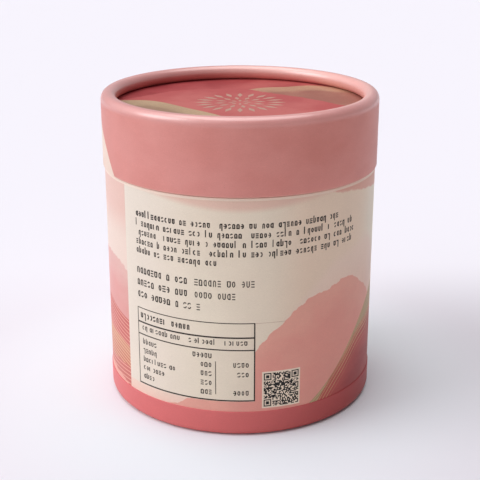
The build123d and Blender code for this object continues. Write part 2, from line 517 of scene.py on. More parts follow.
class PaperGrain:
    """Fibre, fine relief and mottling that every sheet and board shares.

    Strands and flecks are sized as multiples of the fibre. The strands are noises that are squeezed,
    one upright and one aslant.
    """

    cloud, strand_size, fleck_size = 9.0 * MM, 3.2, 1.6
    fibre_detail, detail, fleck_detail = 4.0, 3.0, 1.0
    upright, aslant, along_slant = 4.0, 3.0, 0.8
    pale_range, dark_range, fleck_range = (0.56, 0.7), (0.58, 0.72), (0.7, 0.78)
    fine_part, strand_part, fleck_part, strand_relief = 1.5, 0.45, 0.8, 0.6

    def __init__(self, places: Places, fibre: float, depth: float) -> None:
        """Make the noises once.

        Args:
            places: Where the shaded point is.
            fibre: The size of the fibre's blots, in metres.
            depth: How deep the fibre is, in metres.
        """
        graph, point, x, y, z = places.graph, places.point, places.x, places.y, places.height
        self.graph, self.depth = graph, depth
        self.fine = graph.noise(point, fibre, self.fibre_detail)
        self.cloudy = graph.noise(point, self.cloud, self.detail)
        strand, level = fibre * self.strand_size, graph.join(x, y, z * self.upright)
        slanted = graph.join((x + z) * self.aslant, (y + z) * self.aslant, (z - x) * self.along_slant)
        pale = graph.noise(level, strand, self.detail).faded(*self.pale_range)
        self.strands = pale - graph.noise(slanted, strand, self.detail).faded(*self.dark_range)
        self.flecks = graph.noise(point, fibre * self.fleck_size, self.fleck_detail).faded(*self.fleck_range)

    def mottled(self, colour: Term, strength: float) -> Term:
        """Return a colour that is a little lighter and darker in clouds."""
        grain = (self.fine - 0.5) * self.fine_part + self.strands * self.strand_part
        grain = grain - self.flecks * self.fleck_part
        value = 1.0 + (self.cloudy - 0.5) * strength + grain * strength
        return self.graph.out("ShaderNodeHueSaturation", Value=value, Color=colour)

    def normal(self, waviness: float) -> Term:
        """Return the bumped normal of a sheet whose slow waves are some metres deep."""
        relief = (self.fine + self.strands * self.strand_relief) * self.depth + self.cloudy * waviness
        return self.graph.out("ShaderNodeBump", Strength=1.0, Distance=1.0, Height=relief)


@dataclass(frozen=True)
class PaperFinish:
    """A sheet or board surface.

    Args:
        name: The material's name.
        paint: A tone, or a function that gives what is printed.
        slot: The record's material slot that the finish belongs to. It is not used.
        roughness: The shader's roughness where the surface is even.
        mottle: How much the colour clouds.
        depth: The depth of the fibre, in metres.
        waviness: The depth of slow waves, in metres.
        coat: The weight of the laminate's thin coat.
        burnish: More coat where the sheet was rubbed over a curl: from a height, up to a height, and
            its weight.
        coat_roughness: The roughness of that coat.
        coat_ior: The refractive index of that coat.
        specular: The strength of the sheet's own gloss.
        metallic: How metallic a plain tone is.
    """

    name: str
    paint: Union[Tone, Callable[[Places], Painted]]
    slot: str = ""
    roughness: float = 0.5
    mottle: float = 0.1
    depth: float = 0.004 * MM
    waviness: float = 0.03 * MM
    coat: float = 0.0
    burnish: Spot | None = None
    coat_roughness: float = 0.3
    coat_ior: float = 1.5
    specular: float = 0.4
    metallic: float = 0.0
    fibre = 0.25 * MM
    uneven = 0.12

    def material(self) -> bpy.types.Material:
        """Build the material, or return it if it is there already."""
        found = bpy.data.materials.get(self.name)
        if found is not None:
            return found
        made = bpy.data.materials.new(self.name)
        made.use_nodes = True
        graph = Graph(made.node_tree)
        places = Places.of(graph)
        grain = PaperGrain(places, self.fibre, self.depth)
        printed = self._printed(places)
        shader = graph.out("ShaderNodeBsdfPrincipled", sockets={
            "Base Color": grain.mottled(printed.colour, self.mottle),
            "Roughness": self.roughness + (grain.cloudy - 0.5) * self.uneven,
            "Metallic": printed.foil,
            "Coat Weight": self._coat(places),
            "Coat Roughness": self.coat_roughness,
            "Coat IOR": self.coat_ior,
            "Specular IOR Level": self.specular,
            "Normal": grain.normal(self.waviness),
        })
        graph.node("ShaderNodeOutputMaterial", {}, {"Surface": shader})
        return made

    def _coat(self, places: Places) -> Number:
        """Return the coat's weight at each place."""
        if self.burnish is None:
            return self.coat
        low, high, weight = self.burnish
        return places.height.faded(low, high) * weight + self.coat

    def _printed(self, places: Places) -> Painted:
        """Return what the finish shows at each place."""
        if isinstance(self.paint, Tone):
            return Painted(places.graph.mix(0.0, self.paint, self.paint), self.metallic)
        return self.paint(places)


ART = Artwork()
BODY_PRINT = PaperFinish("printed_body_sheet", ART.body, "body_print", coat=0.12)
LID_PRINT = PaperFinish("printed_lid_sheet", ART.lid, "lid_print", roughness=0.48, waviness=0.015 * MM,
                        coat=0.03, burnish=(84.2 * MM, 86.3 * MM, 0.97), coat_roughness=0.26, coat_ior=2.0,
                        specular=0.3)
DISC_PRINT = PaperFinish("printed_disc_sheet", ART.disc, "disc_print", roughness=0.62, specular=0.2)
FOOT_PAPER = PaperFinish("rose_foot_paper", ART.foot, "rose_board", coat=0.12)
COVER_PAPER = PaperFinish("cream_cover_paper", Tone(228, 214, 190), "cream_paper", roughness=0.7,
                          depth=0.01 * MM)
LINER_PAPER = PaperFinish("white_liner_paper", Tone(236, 232, 224), "white_paper", roughness=0.75,
                          mottle=0.08, depth=0.01 * MM)
INK = PaperFinish("brown_ink", Tone(32, 20, 14), "body_print")
INK_BLACK = PaperFinish("black_ink", Tone(16, 13, 12), "body_print")
GROUND = PaperFinish("code_ground", Tone(246, 233, 219), "body_print")
GOLD_FOIL = PaperFinish("dull_gold_foil", Tone(206, 166, 128), "body_print", roughness=0.38, mottle=0.12,
                        metallic=0.75)
TAUPE_FOIL = PaperFinish("taupe_foil", Tone(196, 158, 138), "disc_print", roughness=0.42, mottle=0.12,
                         metallic=0.5)
RAW_BOARD = PaperFinish("raw_board", Tone(176, 158, 134), roughness=0.9, mottle=0.25, depth=0.02 * MM)


class Extent(NamedTuple):
    """How far a CAD node reaches to the right, and its lowest and its highest height."""

    reach: float
    low: float
    high: float


def extent(node: str) -> Extent:
    """Return a CAD node's extent at rest."""
    low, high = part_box(node)
    return Extent(high.x, low.z, high.z)


def arc(centre: Point, radius: float, start: float, end: float, steps: int) -> list[Point]:
    """Return points on an arc, from one angle to another in degrees, both included."""
    turns = (math.radians(start + (end - start) * step / steps) for step in range(steps + 1))
    return [(centre[0] + radius * math.cos(turn), centre[1] + radius * math.sin(turn)) for turn in turns]


def along(first: Point, last: Point, steps: int) -> list[Point]:
    """Return evenly spaced points on a line, both ends included."""
    shares = (step / steps for step in range(steps + 1))
    return [(first[0] + (last[0] - first[0]) * s, first[1] + (last[1] - first[1]) * s) for s in shares]


def tidied(points: Iterable[Point]) -> tuple[Point, ...]:
    """Return the points without neighbours that fall together."""
    kept: list[Point] = []
    for point in points:
        if not kept or math.dist(point, kept[-1]) > SAME_PLACE:
            kept.append(point)
    if math.dist(kept[0], kept[-1]) < SAME_PLACE:
        kept.pop()
    return tuple(kept)


def linked(name: str, data: bpy.types.ID) -> bpy.types.Object:
    """Return a new object of the scene, at the origin."""
    made = bpy.data.objects.new(name, data)
    bpy.context.scene.collection.objects.link(made)
    return made


def finished(name: str, mesh: bpy.types.Mesh) -> bpy.types.Object:
    """Return a mesh as an object that is smooth but for its sharp edges."""
    mesh.validate()
    mesh.shade_smooth()
    mesh.set_sharp_from_angle(angle=SHARP_EDGE)
    return linked(name, mesh)


def merged(name: str, *meshes: bpy.types.Mesh) -> bpy.types.Object:
    """Return several meshes as one object, with faces that point outward."""
    together = bmesh.new()
    for mesh in meshes:
        together.from_mesh(mesh)
    bmesh.ops.recalc_face_normals(together, faces=together.faces)
    joint = bpy.data.meshes.new(name)
    together.to_mesh(joint)
    together.free()
    return finished(name, joint)


def place(piece: bpy.types.Object, body: Body, finish: PaperFinish, *nodes: str) -> None:
    """Dress a piece and seat it on its body.

    Args:
        piece: The piece, in place.
        body: The body that it rides on.
        finish: Its finish.
        nodes: The CAD nodes that it stands for.
    """
    piece.data.materials.clear()
    piece.data.materials.append(finish.material())
    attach(piece, body.value)
    if nodes:
        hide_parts(*nodes)
    LOG.info("%s rides on %s, %d faces", piece.name, body.value, len(piece.data.polygons))


@dataclass(frozen=True)
class Lap:
    """The strip at the back where the end of a wrapped sheet lies over its start."""

    width: float = 8.0 * MM
    rise: float = 0.17 * MM
    ramp: float = 1.4 * MM
    step: float = 0.05 * MM
    ramp_steps: int = 6

    def lift(self, angle: float, radius: float) -> float:
        """Return how far the outer face is raised at an angle from the front, in radians."""
        left = self.width / 2 - (angle - math.pi) * radius
        if left < 0.0:
            return 0.0
        if left < self.step:
            return self.rise * left / self.step
        share = min(1.0, max(0.0, (self.width - left) / self.ramp))
        return self.rise * share * share * (3 - 2 * share)

    def angles(self, radius: float) -> set[float]:
        """Return the angles at which the lap needs a row of points."""
        half = self.width / 2
        ramp = (-half + self.ramp * step / self.ramp_steps for step in range(self.ramp_steps + 1))
        return {math.pi + place / radius for place in (*ramp, half - self.step, half)}


@dataclass(frozen=True)
class Turned:
    """A half section that is turned round the tube's axis.

    Args:
        points: The closed section as radius and height, anticlockwise with the axis on its left.
        lifted: How much of the lap's rise each point on a sheet's outer face takes up, by number.
    """

    points: tuple[Point, ...]
    lifted: Mapping[int, float]
    lap = Lap()
    segments = 240

    def piece(self, name: str) -> bpy.types.Object:
        """Return the closed piece, in which the points on the axis are poles."""
        radius = max(point[0] for point in self.points)
        lapped = self.lap.angles(radius) if self.lifted else set()
        angles = sorted({math.tau * step / self.segments for step in range(self.segments)} | lapped)
        vertices: list[Spot] = []
        rows: list[list[int]] = []
        for index, point in enumerate(self.points):
            if point[0] < SAME_PLACE:
                rows.append([len(vertices)] * len(angles))
                vertices.append((0.0, 0.0, point[1]))
            else:
                rows.append([len(vertices) + step for step in range(len(angles))])
                vertices.extend(self._ring(index, angles, radius))
        faces = [face for row, upper in zip(rows, (*rows[1:], rows[0])) for face in self._band(row, upper)]
        mesh = bpy.data.meshes.new(name)
        mesh.from_pydata(vertices, [], faces)
        return finished(name, mesh)

    def _ring(self, index: int, angles: Sequence[float], radius: float) -> list[Spot]:
        """Return the ring of one of the points, raised where the sheet laps.

        Args:
            index: The point's number.
            angles: The angles of the ring's points, in radians from the front.
            radius: The sheet's radius, by which the lap's width is turned into angles.

        Returns:
            The ring's points.
        """
        (r, z), share = self.points[index], self.lifted.get(index, 0.0)
        before, after = self.points[index - 1], self.points[(index + 1) % len(self.points)]
        way = Vector((after[0] - before[0], after[1] - before[1])).normalized()
        ring = []
        for angle in angles:
            lift = self.lap.lift(angle, radius) * share if share else 0.0
            reach = r + way.y * lift
            ring.append((reach * math.sin(angle), -reach * math.cos(angle), z - way.x * lift))
        return ring

    @staticmethod
    def _band(row: Sequence[int], upper: Sequence[int]) -> Iterable[tuple[int, ...]]:
        """Give the faces between two rings, as triangles where one of them is a pole."""
        for step in range(len(row)):
            after = (step + 1) % len(row)
            corners = tuple(dict.fromkeys((row[step], row[after], upper[after], upper[step])))
            if len(corners) > 2:
                yield corners


def turned(
    name: str, node: str, body: Body, finish: PaperFinish, points: Iterable[Point],
    lifted: Mapping[int, float] | None = None
) -> None:
    """Turn, dress and seat the piece that stands for a CAD node, from its half section."""
    place(Turned(tidied(points), lifted or {}).piece(name), body, finish, node)


@dataclass(frozen=True)
class Roll:
    """A curled edge: the wall turns inward, crosses a short flat, and turns on to its cut end."""

    side: Side
    face_r: float
    height: float
    radius: float
    flat: float
    steps: int = 14

    def track(self, offset: float) -> list[Point]:
        """Return the curl's line, offset outward from its face, from the wall to its cut end."""
        way, reach = self.side.value, self.radius + offset
        outer = (self.face_r - self.radius, self.height)
        inner = (outer[0] - self.flat, self.height)
        first = arc(outer, reach, 0.0, 90.0 * way, self.steps)
        return [*first, *arc(inner, reach, 90.0 * way, 270.0 * way, 2 * self.steps)]


@dataclass
class BoxBody:
    """The fixed part of the tube: foot ring, printed sleeve, neck and base."""

    foot_roll_radius: float = 1.9 * MM
    foot_flat: float = 0.6 * MM
    foot_face_start: float = 3.0 * MM
    foot_tail_gap: float = 0.25 * MM
    foot_corner: float = 0.15 * MM
    neck_turn_in: float = 6.0 * MM
    wall_steps: int = 12
    cover_steps: int = 10
    shoulder_steps: int = 6
    face_steps: int = 3
    corner_steps: int = 4
    base_rings: tuple[float, ...] = (0.97, 0.8, 0.5, 0.2, 0.0)
    sheet: float = field(init=False)
    lining: float = field(init=False)

    def __post_init__(self) -> None:
        """Read the sheets' thicknesses from the frame."""
        self.sheet = extent("body_wrap").reach - extent("body_tube").reach
        self.lining = extent("base_sheet").high - extent("base_sheet").low

    def build(self) -> None:
        """Make and dress every piece of the body."""
        self._foot_ring()
        self._wrap()
        self._neck()
        self._base()

    def _foot_ring(self) -> None:
        """Make the curled ring at the foot."""
        (outer, _, top), inner = extent("foot_ring"), extent("neck_cover").reach
        radius, round_over = self.foot_roll_radius, self.foot_corner
        roll = Roll(Side.FOOT, outer, radius, radius, self.foot_flat)
        wall, tail_r = outer - inner, inner - self.foot_tail_gap
        start, end = (outer, self.foot_face_start), (outer, top - round_over)
        face = [(outer, radius), *along(start, end, self.face_steps)]
        corner = arc((outer - round_over, top - round_over), round_over, 0.0, 90.0, self.corner_steps)
        points = tidied([
            *reversed(roll.track(-wall)), (inner, top), *reversed(corner), *reversed(face), *roll.track(0.0),
            (tail_r, 2 * radius), (tail_r, 2 * radius - wall),
        ])
        turned("foot_ring_curled", "foot_ring", Body.BOX, FOOT_PAPER, reversed(points))

    def _wrap(self) -> None:
        """Make the printed sheet, turned over the shoulder and lapped at the back."""
        outer, low, high = extent("body_wrap")
        inner, edge, neck = outer - self.sheet, high - self.sheet, extent("neck_cover").reach
        wall = along((outer, low), (outer, edge), self.wall_steps)
        fold = arc((inner, edge), self.sheet, 0.0, 90.0, self.shoulder_steps)
        points = [*wall, *fold, (neck, high), (neck, edge), (inner, edge), (inner, low)]
        lifted = dict.fromkeys(range(len(wall)), 1.0)
        turned("body_wrap_printed", "body_wrap", Body.BOX, BODY_PRINT, points, lifted)

    def _neck(self) -> None:
        """Make the neck's cover and the liner of its bore."""
        outer, low, high = extent("neck_cover")
        board_out, board_in = outer - self.lining, extent("bore_liner").reach
        edge, bore = high - self.lining, board_in - self.lining
        turn = edge - self.neck_turn_in
        turned("neck_cover_paper", "neck_cover", Body.BOX, COVER_PAPER, [
            *along((outer, low), (outer, edge), self.cover_steps),
            *arc((board_out, edge), self.lining, 0.0, 90.0, FOLD_STEPS),
            *arc((board_in, edge), self.lining, 90.0, 180.0, FOLD_STEPS),
            (bore, turn), (board_in, turn), (board_in, edge), (board_out, edge), (board_out, low),
        ])
        _, low, high = extent("bore_liner")
        ring = [(board_in, low), (board_in, high), *along((bore, high), (bore, low), self.wall_steps)]
        turned("bore_liner_paper", "bore_liner", Body.BOX, LINER_PAPER, ring)

    def _base(self) -> None:
        """Make the papers on both faces of the base."""
        for node in ("base_sheet", "floor_sheet"):
            radius, low, high = extent(node)
            rings = [(radius * share, high) for share in self.base_rings]
            points = [(0.0, low), (radius * 0.5, low), (radius, low), (radius, high), *rings]
            turned(node + "_paper", node, Body.BOX, LINER_PAPER, points)


@dataclass
class LidBody:
    """The lid: curled wall under its sheet, and the printed disc pressed in below the roll."""

    roll_radius: float = 2.0 * MM
    roll_flat: float = 0.3 * MM
    tail_gap: float = 0.2 * MM
    turn_in: float = 5.0 * MM
    wall_steps: int = 6
    lining_steps: int = 4
    disc_rings: tuple[float, ...] = (0.97, 0.85, 0.65, 0.4, 0.2, 0.0)
    ceiling_rings: tuple[float, ...] = (0.0, 0.3, 0.7, 1.0)
    sheet: float = field(init=False)
    lining: float = field(init=False)

    def __post_init__(self) -> None:
        """Read the sheets' thicknesses from the frame."""
        self.sheet = extent("lid_wrap").reach - extent("lid_tube").reach
        self.lining = extent("lid_ceiling").high - extent("lid_ceiling").low

    def build(self) -> None:
        """Make and dress every piece of the lid."""
        self._wrap()
        self._disc()
        self._inside()

    def _wrap(self) -> None:
        """Make the lid's sheet, from the turned mouth over the wall and round the roll."""
        face, inner, sheet = extent("lid_tube").reach, extent("lid_lining").reach, self.sheet
        edge, bottom = extent("lid_wrap").low + sheet, extent("lid_print").high
        roll_z = bottom + self.roll_radius
        roll = Roll(Side.TOP, face, roll_z, self.roll_radius - sheet, self.roll_flat)
        tail_r, turn = inner - self.tail_gap, edge + self.turn_in
        wall = along((face + sheet, edge), (face + sheet, roll_z), self.wall_steps)
        points = [
            *wall, *roll.track(sheet), (tail_r, bottom), (tail_r, bottom + sheet),
            *reversed(roll.track(0.0)), (face, roll_z), (face, edge), (inner, edge), (inner, turn),
            (inner - sheet, turn),
            *arc((inner, edge), sheet, 180.0, 270.0, FOLD_STEPS),
            *arc((face, edge), sheet, 270.0, 360.0, FOLD_STEPS),
        ]
        lifted = dict.fromkeys(range(len(wall)), 1.0)
        lifted |= {len(wall) + step: 1.0 - step / roll.steps for step in range(roll.steps)}
        turned("lid_wrap_printed", "lid_wrap", Body.LID, LID_PRINT, points, lifted)

    def _disc(self) -> None:
        """Make the disc's printed face, turned down round its rim."""
        radius, low, high = extent("lid_print")
        board_r, board_top = radius - self.sheet, high - self.sheet
        rings = [(board_r * share, high) for share in self.disc_rings]
        turned("disc_print_face", "lid_print", Body.LID, DISC_PRINT, [
            (0.0, board_top), (board_r * 0.5, board_top), (board_r, board_top), (board_r, low), (radius, low),
            *arc((board_r, board_top), self.sheet, 0.0, 90.0, FOLD_STEPS), *rings,
        ])

    def _inside(self) -> None:
        """Make the lid's lining and ceiling."""
        outer, low, high = extent("lid_lining")
        inner = outer - self.lining
        ring = [(outer, low), (outer, high), *along((inner, high), (inner, low), self.lining_steps)]
        turned("lid_lining_paper", "lid_lining", Body.LID, LINER_PAPER, ring)
        _, low, high = extent("lid_ceiling")
        points = [*((inner * share, low) for share in self.ceiling_rings), (inner, high), (0.0, high)]
        turned("lid_ceiling_paper", "lid_ceiling", Body.LID, LINER_PAPER, points)


class Growth(Graph):
    """A geometry tree with named inputs, which grows plain meshes."""

    def __init__(self, name: str, floats: Sequence[str], counts: Sequence[str]) -> None:
        """Start a tree.

        Args:
            name: The tree's name.
            floats: The names of its inputs in metres, radians or shares.
            counts: The names of its whole-number inputs.
        """
        super().__init__(bpy.data.node_groups.new(name, "GeometryNodeTree"))
        face = self.tree.interface
        face.new_socket("Geometry", in_out="OUTPUT", socket_type="NodeSocketGeometry")
        kinds = dict.fromkeys(floats, "NodeSocketFloat") | dict.fromkeys(counts, "NodeSocketInt")
        self.keys = {
            label: face.new_socket(label, in_out="INPUT", socket_type=kind).identifier
            for label, kind in (kinds | {"Finish": "NodeSocketMaterial"}).items()
        }
        self.source = self.node("NodeGroupInput")

    def __getitem__(self, label: str) -> Term:
        """Return one of the tree's inputs."""
        return self.term(self.source, label)

    def index(self) -> Term:
        """Return the number of each point."""
        return self.out("GeometryNodeInputIndex")

    def position(self) -> tuple[Term, ...]:
        """Return where each point is."""
        return self.split(self.out("GeometryNodeInputPosition"))

    def chance(self, offset: int) -> Term:
        """Return a random share for each point, which the tree's seed settles."""
        sockets = {"Min": 0.0, "Max": 1.0, "Seed": self["Seed"] + offset}
        return self.out("FunctionNodeRandomValue", "Value", {"data_type": "FLOAT"}, sockets)

    def shifted(self, geometry: Term, x: Number, z: Number, **more: object) -> Term:
        """Return a geometry moved across and up, and turned or sized if more says so."""
        return self.out("GeometryNodeTransform", Geometry=geometry, Translation=self.join(x, 0.0, z), **more)

    def bar(self, x: Number, z: Number, size: Term, cuts: int = 2) -> Term:
        """Return a box of a size, moved across and up. Cuts is its count of points along x."""
        box = self.out("GeometryNodeMeshCube", "Mesh", {}, {"Size": size, "Vertices X": cuts})
        return self.shifted(box, x, z)

    def joined(self, parts: Sequence[Term]) -> Term:
        """Return several geometries as one."""
        made = self.node("GeometryNodeJoinGeometry")
        for part in reversed(parts):
            self.tree.links.new(part.socket, made.inputs[0])
        return self.term(made)

    def points(self, count: Term, x: Number, y: Number, z: Number) -> Term:
        """Return a count of points at a place that may differ from point to point."""
        return self.out("GeometryNodePoints", Count=count, Position=self.join(x, y, z))

    def bent(self, geometry: Term, angle: Term, radius: Term, height: Term) -> Term:
        """Return a geometry whose points are set round the tube, at angles from the front."""
        where = self.join(angle.sine() * radius, 0.0 - angle.cosine() * radius, height)
        return self.out("GeometryNodeSetPosition", Geometry=geometry, Position=where)

    def wrapped(self, points: Term, drop: Term) -> Term:
        """Return the points that aren't dropped, given as arc and height, set on the tube's wall."""
        across, _, height = self.position()
        kept = self.out("GeometryNodeDeleteGeometry", 0, {"domain": "POINT"}, Geometry=points, Selection=drop)
        return self.bent(kept, across / self["Radius"], self["Radius"], height)

    def stamped(self, points: Term, stamp: Term, turn: Number, **more: object) -> Term:
        """Return a stamp on each point, turned about the tube's axis."""
        return self.out("GeometryNodeInstanceOnPoints", Points=points, Instance=stamp,
                        Rotation=self.join(0.0, 0.0, turn), **more)

    def facing(self) -> Term:
        """Return the turn by which a stamp on the wall faces outward."""
        x, y, _ = self.position()
        return x.bearing(-y)

    def realized(self, geometry: Term) -> Term:
        """Return a geometry whose instances are real."""
        return self.out("GeometryNodeRealizeInstances", Geometry=geometry)

    def end(self, geometry: Term) -> None:
        """End the tree: instances made real, and the finish set."""
        made = self.out("GeometryNodeSetMaterial", Geometry=self.realized(geometry), Material=self["Finish"])
        self.node("NodeGroupOutput", {}, {0: made})

    def grow(self, finish: PaperFinish, values: Mapping[str, float]) -> bpy.types.Mesh:
        """Grow a plain mesh.

        Args:
            finish: Its finish.
            values: A value for each input.

        Returns:
            The mesh.
        """
        holder = linked(self.tree.name, bpy.data.meshes.new(self.tree.name))
        modifier = holder.modifiers.new(self.tree.name, "NODES")
        modifier.node_group = self.tree
        for label, value in {**values, "Finish": finish.material()}.items():
            modifier[self.keys[label]] = value
        evaluated = holder.evaluated_get(bpy.context.evaluated_depsgraph_get())
        grown = bpy.data.meshes.new_from_object(evaluated)
        holder.modifiers.remove(modifier)
        bpy.data.objects.remove(holder)
        return grown


FULL_KINDS, ALL_KINDS = 9, 17


@dataclass(frozen=True)
class Marks:
    """How the marks of a row look, with sizes in millimetres.

    Args:
        height: The height of most.
        pitch: The distance from one to the next.
        stroke: The width of a stroke.
        word: After how many a gap comes.
        reach: How far some reach past the others, as a share of the height.
        kinds: How many kinds there are, from the fullest on.
    """

    height: float
    pitch: float
    stroke: float
    word: float = 999.0
    reach: float = 0.0
    kinds: int = FULL_KINDS


class SmallPrint(Growth):
    """A row of plain placeholder marks: no words, just strokes and bends at the size of small print."""

    body_share = 0.74
    bend_points = 9
    round_turns, wave_starts = ((90.0, 352.0), (50.0, 260.0), (230.0, 260.0)), (20.0, 200.0)
    second_gap_start, second_gap_share = 4.0, 1.6
    narrowest, width_range = 0.82, 0.3
    kind_draw, width_draw = 7, 3
    under_one = 0.999

    def __init__(self) -> None:
        """Build the tree."""
        floats = ("Start", "Top", "Pitch", "Height", "Stroke", "Word", "Reach", "Radius", "Thickness")
        super().__init__("small_print", floats, ("Columns", "Kinds", "Seed"))
        column = self.index()
        points = self.points(self["Columns"], self["Start"] + column * self["Pitch"], 0.0, self["Top"])
        short = (column + self["Seed"]).repeated(self["Word"])
        long = (column + self.second_gap_start).repeated(self["Word"] * self.second_gap_share)
        points = self.wrapped(points, short.lower(long) < 1.0)
        self.tall, self.stroke, self.deep = self["Height"], self["Stroke"], self["Thickness"]
        self.wide = self["Pitch"] * self.body_share - self.stroke
        kind = "GeometryNodeGeometryToInstance"
        marks = self.joined([self.out(kind, 0, {}, {0: mark}) for mark in self._marks()])
        kinds = self.chance(self.kind_draw) * self["Kinds"] * self.under_one
        more = {
            "Pick Instance": True, "Instance Index": kinds.floor(),
            "Scale": self.join(self.chance(self.width_draw) * self.width_range + self.narrowest, 1.0, 1.0),
        }
        self.end(self.stamped(points, marks, self.facing(), **more))

    def _marks(self) -> list[Term]:
        """Return the marks that the rows pick from, the fullest ones first."""
        side, rise, reach = self.wide * 0.5, (self.tall - self.stroke) * 0.5, self.tall * self["Reach"]
        upright = self.join(self.stroke, self.deep, self.tall)
        longer = self.join(self.stroke, self.deep, self.tall + reach)
        level = self.join(self.wide + self.stroke, self.deep, self.stroke)
        ring, curl, back = (self._bend(*turn, 0.0, self.tall - self.stroke) for turn in self.round_turns)
        over, under = self.wave_starts
        wave = [self._bend(over, 180.0, rise * 0.5, rise), self._bend(under, 180.0, rise * -0.5, rise)]
        arch, bowl = self._arch(1.0), self._arch(-1.0)
        left, right = self.bar(-side, 0.0, upright), self.bar(side, 0.0, upright)
        high, middle, low = triple = [self.bar(0.0, height, level) for height in (rise, 0.0, -rise)]
        post, tail = self.bar(-side, reach * 0.5, longer), self.bar(side, reach * -0.5, longer)
        full = ([ring], arch, bowl, [back, middle], [curl, right], wave, triple, [*arch, low], [*bowl, high])
        loose = ([curl], [back], wave, [post], [*arch, tail], [*bowl, post], [left], [tail, high])
        return [self.joined(parts) for parts in (*full, *loose)]

    def _arch(self, up: float) -> list[Term]:
        """Return two legs under a round top, or two over a round foot where up is -1."""
        spring = (self.tall - self.stroke - self.wide) * (0.5 * up)
        leg = self.join(self.stroke, self.deep, self.tall * 0.5 + spring * up)
        middle = (spring - self.tall * (0.5 * up)) * 0.5
        legs = [self.bar(self.wide * 0.5 * way, middle, leg) for way in (-1.0, 1.0)]
        return [self._bend(90.0 - 90.0 * up, 180.0, spring, self.wide), *legs]

    def _bend(self, start: float, sweep: float, z: Number, tall: Term) -> Term:
        """Return a bent stroke, which is part of an oval.

        Args:
            start: Where it begins, in degrees from the right, turning up.
            sweep: How far it goes round, in degrees.
            z: How far up the oval's middle is.
            tall: The oval's height, between the middles of its strokes.

        Returns:
            The stroke.
        """
        shape = {"Resolution": self.bend_points, "Radius": 0.5, "Start Angle": math.radians(start),
                 "Sweep Angle": math.radians(sweep)}
        line = self.out("GeometryNodeCurveArc", "Curve", {"mode": "RADIUS"}, shape)
        oval = self.shifted(line, 0.0, 0.0, Scale=self.join(self.wide, tall, 1.0))
        nib = self.out("GeometryNodeCurvePrimitiveQuadrilateral", "Curve", {"mode": "RECTANGLE"},
                       Width=self.stroke, Height=self.deep)
        sockets = {"Curve": oval, "Profile Curve": nib, "Fill Caps": True}
        swept = self.out("GeometryNodeCurveToMesh", "Mesh", {}, sockets)
        return self.shifted(swept, 0.0, z, Rotation=(math.pi / 2, 0.0, 0.0))


class CodeCells(Growth):
    """A square of cells at random: a plain stand-in for a printed code."""

    overlap = 1.01

    def __init__(self, corner: float) -> None:
        """Build the tree. Corner is how many cells wide each plain corner is."""
        floats = ("Start", "Top", "Cell", "Gap Share", "Radius", "Thickness")
        super().__init__("code_cells", floats, ("Columns", "Seed"))
        columns, cell = self["Columns"], self["Cell"]
        column, row = self.index().repeated(columns), ((self.index() + 0.5) / columns).floor()
        points = self.points(columns * columns, self["Start"] + (column + 0.5) * cell, 0.0,
                             self["Top"] - (row + 0.5) * cell)
        last = columns - corner - 1.5
        left, right, upper, lower = column < corner + 0.5, column > last, row < corner + 0.5, row > last
        corners = left.lower(upper.higher(lower)).higher(right.lower(upper))
        points = self.wrapped(points, corners.higher(self.chance(0) < self["Gap Share"]))
        stamp = self.bar(0.0, 0.0, self.join(cell * self.overlap, self["Thickness"], cell * self.overlap))
        self.end(self.stamped(points, stamp, self.facing()))


class FoilEdge(Growth):
    """Thin foil lines that follow a ribbon's edge round the wall."""

    taper_in, taper_out, thinnest = (0.0, 0.3), (1.0, 0.8), 0.15

    def __init__(self, ribbon: Swell) -> None:
        """Build the tree for one ribbon."""
        floats = ("Start", "End", "Inset", "Line Pitch", "Line Width", "Radius", "Thickness")
        super().__init__("foil_edge", floats, ("Lines", "Cuts"))
        start, span = self["Start"], self["End"] - self["Start"]
        size = self.join(span, self["Thickness"], self["Line Width"])
        line = self.bar((self["End"] + start) * 0.5, 0.0, size, self["Cuts"])
        x, y, z = self.position()
        share = (x - start) / span
        taper = share.faded(*self.taper_in) * share.faded(*self.taper_out)
        taper = taper * (1.0 - self.thinnest) + self.thinnest
        line = self.out("GeometryNodeSetPosition", Geometry=line, Position=self.join(x, y, z * taper))
        down = self["Inset"] + self.index() * self["Line Pitch"]
        lines = self.stamped(self.points(self["Lines"], 0.0, 0.0, -down), line, 0.0)
        self.end(self.bent(self.realized(lines), x, self["Radius"] + y, ribbon.edge(x) + z))


class Rosette(Growth):
    """A ring of foil lozenges round the middle of the disc."""

    def __init__(self) -> None:
        """Build the tree."""
        super().__init__("rosette", ("Ring", "Length", "Width", "Thickness", "Height", "Turn"), ("Count",))
        angle, ring = self.index() / self["Count"] * math.tau + self["Turn"], self["Ring"]
        points = self.points(self["Count"], angle.cosine() * ring, angle.sine() * ring, self["Height"])
        deep, size = self["Thickness"], self.join(self["Length"], self["Width"], 1.0)
        lozenge = self.out("GeometryNodeMeshCylinder", "Mesh", Vertices=4, Radius=0.5, Depth=deep)
        x, y, _ = self.position()
        self.end(self.stamped(points, lozenge, y.bearing(x), Scale=size))


